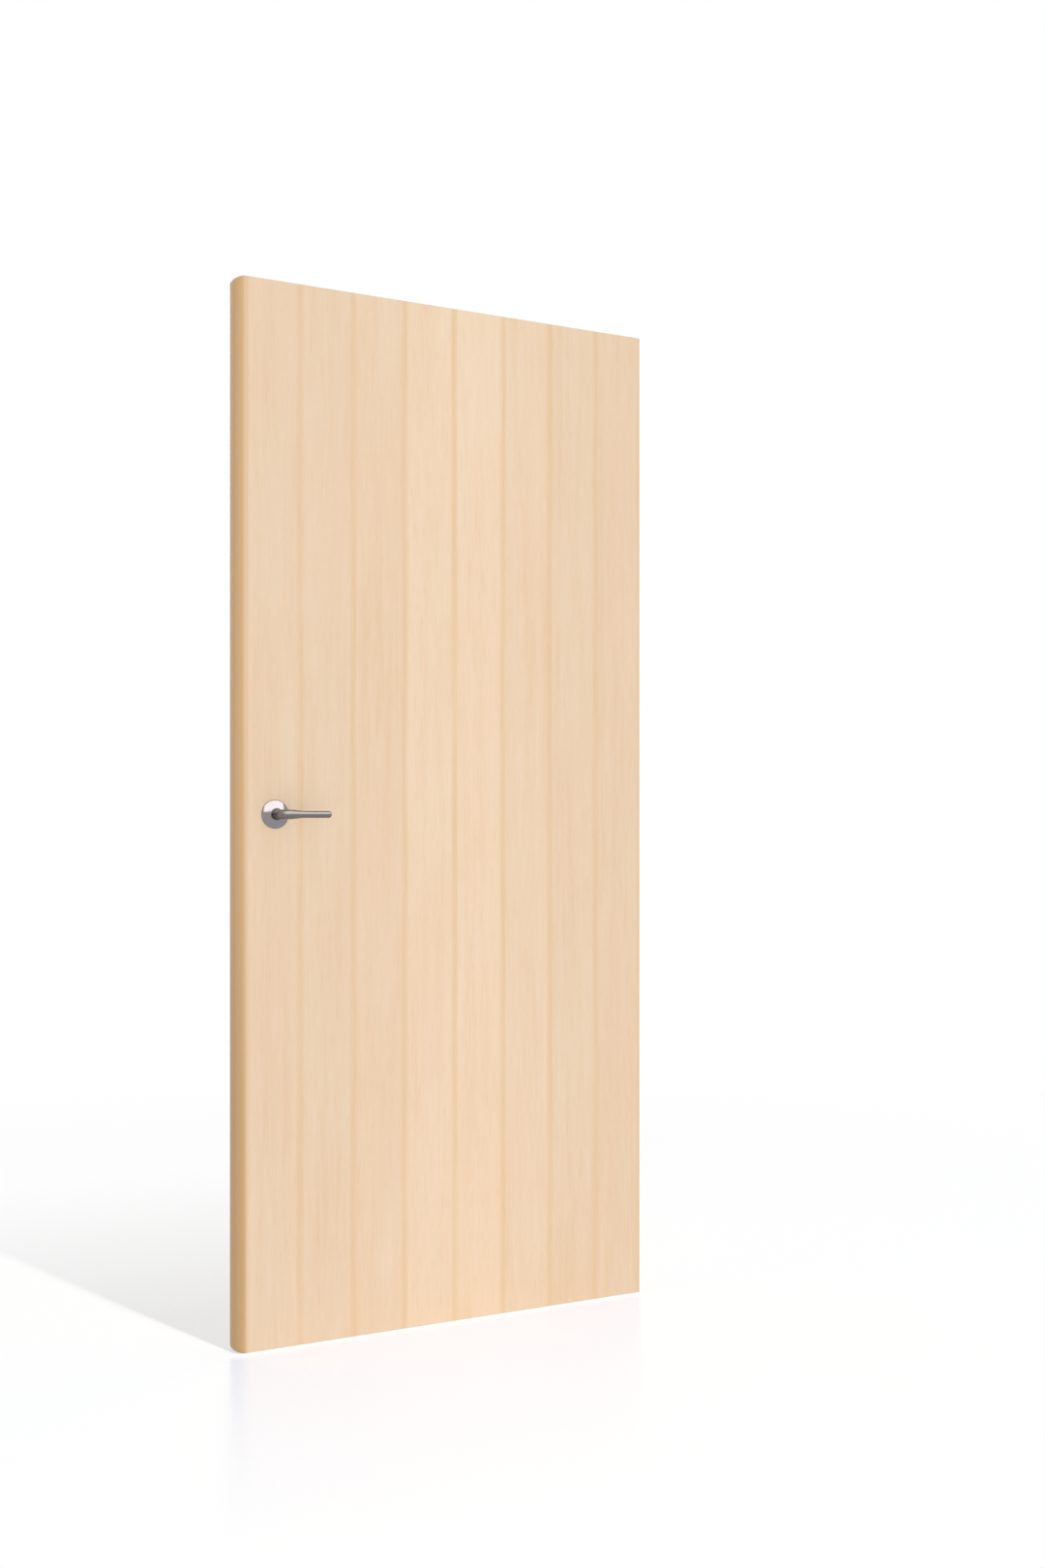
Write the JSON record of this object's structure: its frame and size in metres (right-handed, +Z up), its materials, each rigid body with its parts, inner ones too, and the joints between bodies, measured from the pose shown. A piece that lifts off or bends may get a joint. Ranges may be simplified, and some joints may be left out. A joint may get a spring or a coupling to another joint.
{
  "type": "interior door",
  "caption": "Flush interior door leaf in pale vertical-strip veneer, with a rounded lock edge, a lever handle on each face and butt hinges that screw to a frame.",
  "frame": {"origin": "on the back face of the middle hinge's frame-side leaf, at mid height of that hinge and in the middle of the door leaf's thickness", "axes": "+X from the lock edge to the hinge side and out of the back of the frame-side hinge leaves, front face towards -Y, +Z up"},
  "size_m": [0.9225, 0.1464, 2.032],
  "materials": {
    "face_veneer": "satin",
    "edge_wood": "satin",
    "frame_wood": "matte",
    "core_board": "matte",
    "handle_metal": "polished",
    "hinge_steel": "satin"
  },
  "bodies": {
    "frame_hinges": {"top_hinge_frame_leaf": "hinge_steel", "top_hinge_pin": "hinge_steel", "middle_hinge_frame_leaf": "hinge_steel", "middle_hinge_pin": "hinge_steel", "bottom_hinge_frame_leaf": "hinge_steel", "bottom_hinge_pin": "hinge_steel"},
    "door": {"lock_nosing": "edge_wood", "lock_stile": "frame_wood", "hinge_stile": "frame_wood", "top_rail": "frame_wood", "bottom_rail": "frame_wood", "core": "core_board", "front_skin": "face_veneer", "back_skin": "face_veneer", "front_rose": "handle_metal", "back_rose": "handle_metal", "top_hinge_door_leaf": "hinge_steel", "middle_hinge_door_leaf": "hinge_steel", "bottom_hinge_door_leaf": "hinge_steel"},
    "handle": {"front_lever": "handle_metal", "back_lever": "handle_metal", "spindle": "hinge_steel"}
  },
  "joints": [
    {"name": "door_swing", "type": "hinge", "parent": "frame_hinges", "child": "door", "pos_m": [-0.00555, 0.03022, 0], "axis": [0, 0, -1], "range_deg": [0, 180]},
    {"name": "lever_turn", "type": "hinge", "parent": "door", "child": "handle", "pos_m": [-0.8435, 0, -0.0585], "axis": [0, 1, 0], "range_deg": [0, 45], "stiffness_Nm_per_rad": 1.5, "springref_deg": -22.92}
  ]
}
